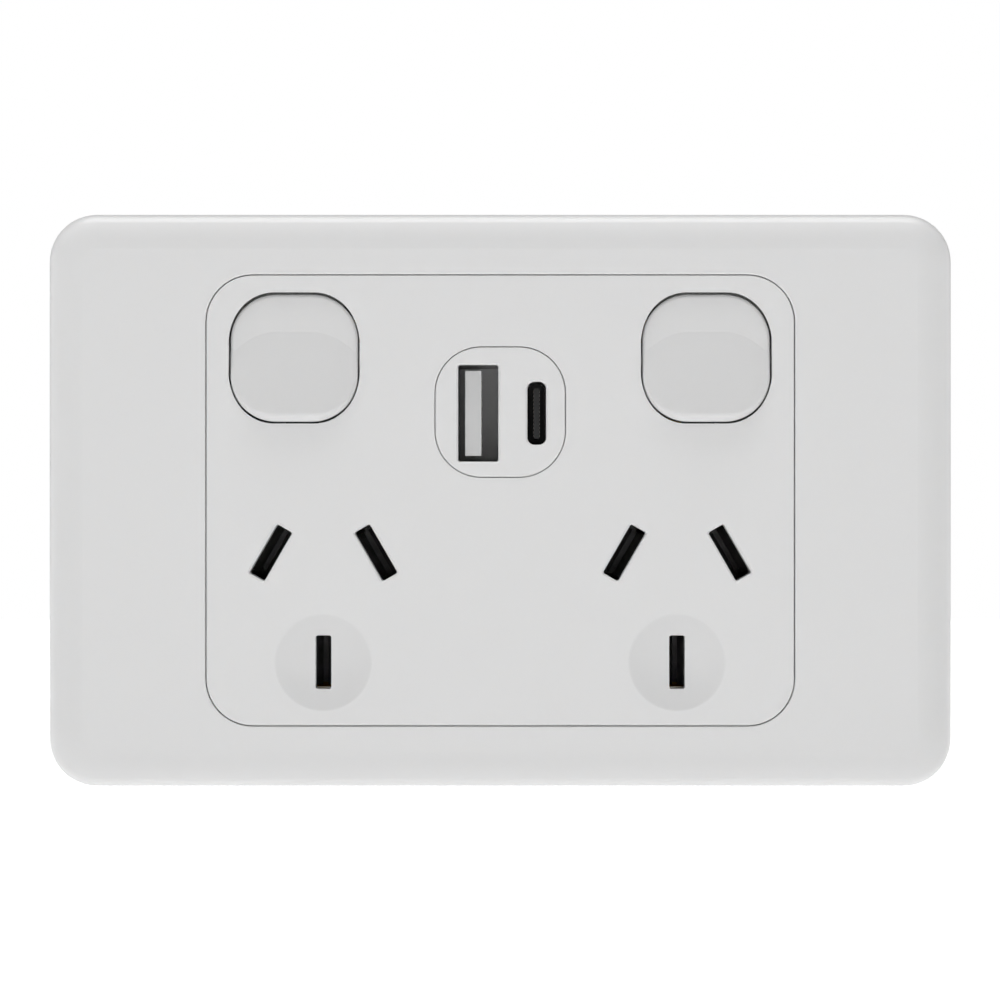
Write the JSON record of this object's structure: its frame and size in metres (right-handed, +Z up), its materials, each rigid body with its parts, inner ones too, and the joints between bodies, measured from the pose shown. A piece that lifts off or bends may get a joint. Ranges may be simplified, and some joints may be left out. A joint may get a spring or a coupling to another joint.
{
  "type": "double wall socket with usb ports",
  "caption": "Double switched wall socket: rounded white plate, flush panel, two rockers, slanted pin slots and a square USB insert.",
  "frame": {"origin": "centre of the plate on the wall's face, midway between the two wall screws", "axes": "+X to the right seen from the room, +Y into the wall, +Z up; the switches and slots face -Y"},
  "size_m": [0.118, 0.0369, 0.0748],
  "materials": {
    "white_polycarbonate": "satin",
    "grey_housing": "matte",
    "black_plastic": "matte",
    "tongue_white": "matte",
    "brass": "satin",
    "silver_contact": "polished",
    "zinc_steel": "satin",
    "nickel_shell": "satin",
    "gold_contact": "polished",
    "circuit_board": "satin",
    "ferrite": "matte",
    "winding_tape": "satin",
    "capacitor_sleeve": "satin",
    "spring_steel": "polished",
    "acetal": "satin"
  },
  "bodies": {
    "socket": {"cover_plate": "white_polycarbonate", "grid_plate": "white_polycarbonate", "rear_housing": "grey_housing", "housing_screws": "zinc_steel", "usb_insert": "white_polycarbonate", "usb_a_shell": "nickel_shell", "usb_a_tongue": "tongue_white", "usb_a_contacts": "gold_contact", "usb_c_shell": "nickel_shell", "usb_c_tongue": "black_plastic", "usb_c_contacts": "gold_contact", "charger_board": "circuit_board", "transformer_core": "ferrite", "transformer_winding": "winding_tape", "input_capacitor": "capacitor_sleeve", "output_capacitor": "capacitor_sleeve", "active_contact_left": "brass", "active_contact_right": "brass", "neutral_strip": "brass", "earth_strip": "brass", "active_bus": "brass", "fixed_tip_left": "silver_contact", "fixed_tip_right": "silver_contact", "terminal_active": "brass", "terminal_neutral": "brass", "terminal_earth": "brass", "terminal_loop": "brass", "terminal_screws": "zinc_steel"},
    "rocker_left": {"rocker_left": "white_polycarbonate", "spring_left": "spring_steel"},
    "plunger_left": {"plunger_left": "acetal"},
    "seesaw_left": {"moving_contact_left": "brass", "moving_tip_left": "silver_contact"},
    "rocker_right": {"rocker_right": "white_polycarbonate", "spring_right": "spring_steel"},
    "plunger_right": {"plunger_right": "acetal"},
    "seesaw_right": {"moving_contact_right": "brass", "moving_tip_right": "silver_contact"}
  },
  "joints": [
    {"name": "rocker_left_turn", "type": "hinge", "parent": "socket", "child": "rocker_left", "pos_m": [-0.02685, -0.0046, 0.01855], "axis": [1, 0, 0], "range_deg": [0, 12]},
    {"name": "plunger_left_slide", "type": "slide", "parent": "rocker_left", "child": "plunger_left", "axis": [0, 0.9945, -0.1045], "range_m": [-0.0008, 0], "stiffness_N_per_m": 300, "springref_m": 0.003, "deforming": ["spring_left"]},
    {"name": "seesaw_left_tip", "type": "hinge", "parent": "socket", "child": "seesaw_left", "pos_m": [-0.02685, 0.0054, 0.01855], "axis": [1, 0, 0], "range_deg": [-14, 0]},
    {"name": "rocker_right_turn", "type": "hinge", "parent": "socket", "child": "rocker_right", "pos_m": [0.02685, -0.0046, 0.01855], "axis": [1, 0, 0], "range_deg": [0, 12]},
    {"name": "plunger_right_slide", "type": "slide", "parent": "rocker_right", "child": "plunger_right", "axis": [0, 0.9945, -0.1045], "range_m": [-0.0008, 0], "stiffness_N_per_m": 300, "springref_m": 0.003, "deforming": ["spring_right"]},
    {"name": "seesaw_right_tip", "type": "hinge", "parent": "socket", "child": "seesaw_right", "pos_m": [0.02685, 0.0054, 0.01855], "axis": [1, 0, 0], "range_deg": [-14, 0]}
  ],
  "couplings": [
    {"joint": "seesaw_left_tip", "follows": "rocker_left_turn", "ratio": -1.1666},
    {"joint": "seesaw_right_tip", "follows": "rocker_right_turn", "ratio": -1.1666}
  ]
}
